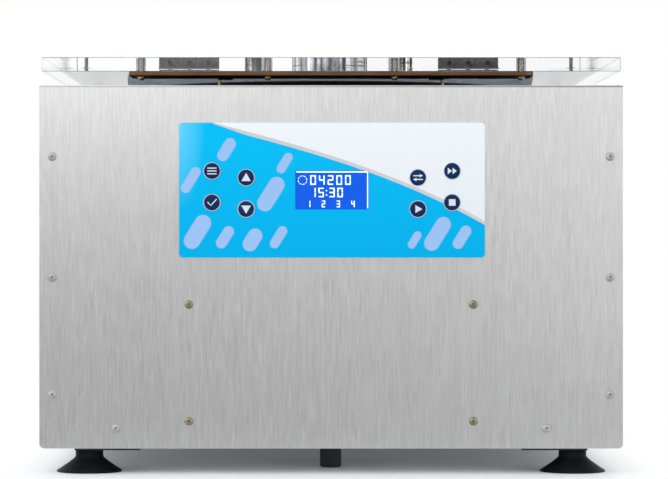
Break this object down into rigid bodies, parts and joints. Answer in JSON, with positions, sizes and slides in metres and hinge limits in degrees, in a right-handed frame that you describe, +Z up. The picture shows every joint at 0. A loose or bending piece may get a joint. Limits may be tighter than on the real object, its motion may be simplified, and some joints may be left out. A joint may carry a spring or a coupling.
{
  "type": "benchtop centrifuge",
  "caption": "Box-shaped benchtop centrifuge with brushed steel cabinet, printed keypad and display, clear hinged lid, swing-out rotor in a round chamber and suction feet.",
  "frame": {"origin": "middle of the footprint, on the surface that the suction feet stand on", "axes": "+Z up, the front panel with the keypad faces -Y, +X to the right seen from the front"},
  "size_m": [0.53, 0.6166, 0.3784],
  "materials": {
    "stainless": "vertical brushed grain, satin",
    "deck_steel": "brushed, satin",
    "bowl_steel": "spun, satin",
    "zinc_steel": "zinc plated, dull",
    "armour_steel": "dark primer, matt",
    "fastener_steel": "nickel plated",
    "brown_screw": "burnished brown",
    "bronze_bar": "bronze anodised, satin",
    "hook_brass": "dull brass",
    "nut_brass": "polished brass",
    "clear_lid": "clear polycarbonate, polished edges",
    "clear_window": "clear, gloss",
    "black_rubber": "moulded, satin",
    "overlay_film": "printed polyester film, satin",
    "navy_key": "moulded, gloss",
    "lcd": "lit liquid crystal",
    "green_board": "solder mask",
    "aluminium": "machined",
    "heatsink_black": "black anodised",
    "black_enamel": "black enamel",
    "grey_film": "thin satin grey sheet",
    "shaft_steel": "ground",
    "core_steel": "laminated",
    "knob_black": "moulded",
    "bucket_steel": "turned",
    "black_plastic": "moulded, fine texture",
    "white_nylon": "moulded nylon",
    "solenoid_steel": "yellow passivated"
  },
  "bodies": {
    "case": {"body_shell": "stainless", "front_panel": "stainless", "rear_panel": "stainless", "top_deck": "deck_steel", "feet": "black_rubber", "foot_studs": "black_enamel", "panel_screws": "fastener_steel", "drive_screws": "brown_screw", "control_overlay": "overlay_film", "display_window": "clear_window", "display_module": "lcd", "control_board": "green_board", "drive_heatsink": "heatsink_black", "drive_board": "green_board", "chamber_bowl": "bowl_steel", "chamber_gasket": "black_rubber", "guard_ring": "armour_steel", "shaft_boot": "black_rubber", "rubber_mounts": "black_rubber", "motor_frame": "zinc_steel", "motor_housing": "black_enamel", "motor_end_bell": "aluminium", "motor_bearings": "shaft_steel", "deck_hinge_leaves": "zinc_steel", "hinge_pins": "shaft_steel", "stay_bases": "black_plastic", "lock_guides": "white_nylon", "lock_solenoid": "solenoid_steel", "power_module": "black_plastic", "fan_frame": "black_plastic"},
    "lid": {"lid_panel": "clear_lid", "latch_bar": "bronze_bar", "latch_hooks": "hook_brass", "lid_bolts": "nut_brass", "lid_front_plate": "grey_film", "lid_port": "fastener_steel", "lid_bumpers": "black_rubber", "lid_screws": "fastener_steel", "lid_hinge_leaves": "zinc_steel", "stay_arms": "fastener_steel"},
    "rotor": {"motor_shaft": "shaft_steel", "motor_armature": "core_steel", "rotor_head": "aluminium", "trunnion_pins": "shaft_steel", "rotor_knob": "knob_black"},
    "bucket_right": {"bucket_right": "bucket_steel"},
    "bucket_rear": {"bucket_rear": "bucket_steel"},
    "bucket_left": {"bucket_left": "bucket_steel"},
    "bucket_front": {"bucket_front": "bucket_steel"},
    "key_select": {"key_select": "navy_key"},
    "key_up": {"key_up": "navy_key"},
    "key_accept": {"key_accept": "navy_key"},
    "key_down": {"key_down": "navy_key"},
    "key_units": {"key_units": "navy_key"},
    "key_pulse": {"key_pulse": "navy_key"},
    "key_run": {"key_run": "navy_key"},
    "key_halt": {"key_halt": "navy_key"},
    "lock_bar": {"lock_bar": "zinc_steel"},
    "power_rocker": {"power_rocker": "black_plastic"},
    "fan_impeller": {"fan_impeller": "black_plastic"}
  },
  "joints": [
    {"name": "lid_hinge", "type": "hinge", "parent": "case", "child": "lid", "pos_m": [0, 0.29488, 0.35935], "axis": [-1, 0, 0], "range_deg": [0, 82]},
    {"name": "rotor_spin", "type": "hinge", "parent": "case", "child": "rotor", "pos_m": [0, 0.03888, 0.28], "axis": [0, 0, 1], "continuous": true},
    {"name": "swing_right", "type": "hinge", "parent": "rotor", "child": "bucket_right", "pos_m": [0.078, 0.03888, 0.28], "axis": [0, -1, 0], "range_deg": [-10, 90]},
    {"name": "swing_rear", "type": "hinge", "parent": "rotor", "child": "bucket_rear", "pos_m": [0, 0.11688, 0.28], "axis": [1, 0, 0], "range_deg": [-10, 90]},
    {"name": "swing_left", "type": "hinge", "parent": "rotor", "child": "bucket_left", "pos_m": [-0.078, 0.03888, 0.28], "axis": [0, 1, 0], "range_deg": [-10, 90]},
    {"name": "swing_front", "type": "hinge", "parent": "rotor", "child": "bucket_front", "pos_m": [0, -0.03912, 0.28], "axis": [-1, 0, 0], "range_deg": [-10, 90]},
    {"name": "press_select", "type": "slide", "parent": "case", "child": "key_select", "axis": [0, 1, 0], "range_m": [0, 0.0006], "stiffness_N_per_m": 500, "springref_m": -0.001},
    {"name": "press_up", "type": "slide", "parent": "case", "child": "key_up", "axis": [0, 1, 0], "range_m": [0, 0.0006], "stiffness_N_per_m": 500, "springref_m": -0.001},
    {"name": "press_accept", "type": "slide", "parent": "case", "child": "key_accept", "axis": [0, 1, 0], "range_m": [0, 0.0006], "stiffness_N_per_m": 500, "springref_m": -0.001},
    {"name": "press_down", "type": "slide", "parent": "case", "child": "key_down", "axis": [0, 1, 0], "range_m": [0, 0.0006], "stiffness_N_per_m": 500, "springref_m": -0.001},
    {"name": "press_units", "type": "slide", "parent": "case", "child": "key_units", "axis": [0, 1, 0], "range_m": [0, 0.0006], "stiffness_N_per_m": 500, "springref_m": -0.001},
    {"name": "press_pulse", "type": "slide", "parent": "case", "child": "key_pulse", "axis": [0, 1, 0], "range_m": [0, 0.0006], "stiffness_N_per_m": 500, "springref_m": -0.001},
    {"name": "press_run", "type": "slide", "parent": "case", "child": "key_run", "axis": [0, 1, 0], "range_m": [0, 0.0006], "stiffness_N_per_m": 500, "springref_m": -0.001},
    {"name": "press_halt", "type": "slide", "parent": "case", "child": "key_halt", "axis": [0, 1, 0], "range_m": [0, 0.0006], "stiffness_N_per_m": 500, "springref_m": -0.001},
    {"name": "lock_slide", "type": "slide", "parent": "case", "child": "lock_bar", "axis": [1, 0, 0], "range_m": [0, 0.008], "stiffness_N_per_m": 120, "springref_m": -0.006},
    {"name": "rocker_tilt", "type": "hinge", "parent": "case", "child": "power_rocker", "pos_m": [-0.19, 0.30338, 0.112], "axis": [-1, 0, 0], "range_deg": [0, 10]},
    {"name": "fan_spin", "type": "hinge", "parent": "case", "child": "fan_impeller", "pos_m": [0.175, 0.28988, 0.12], "axis": [0, 1, 0], "continuous": true}
  ]
}
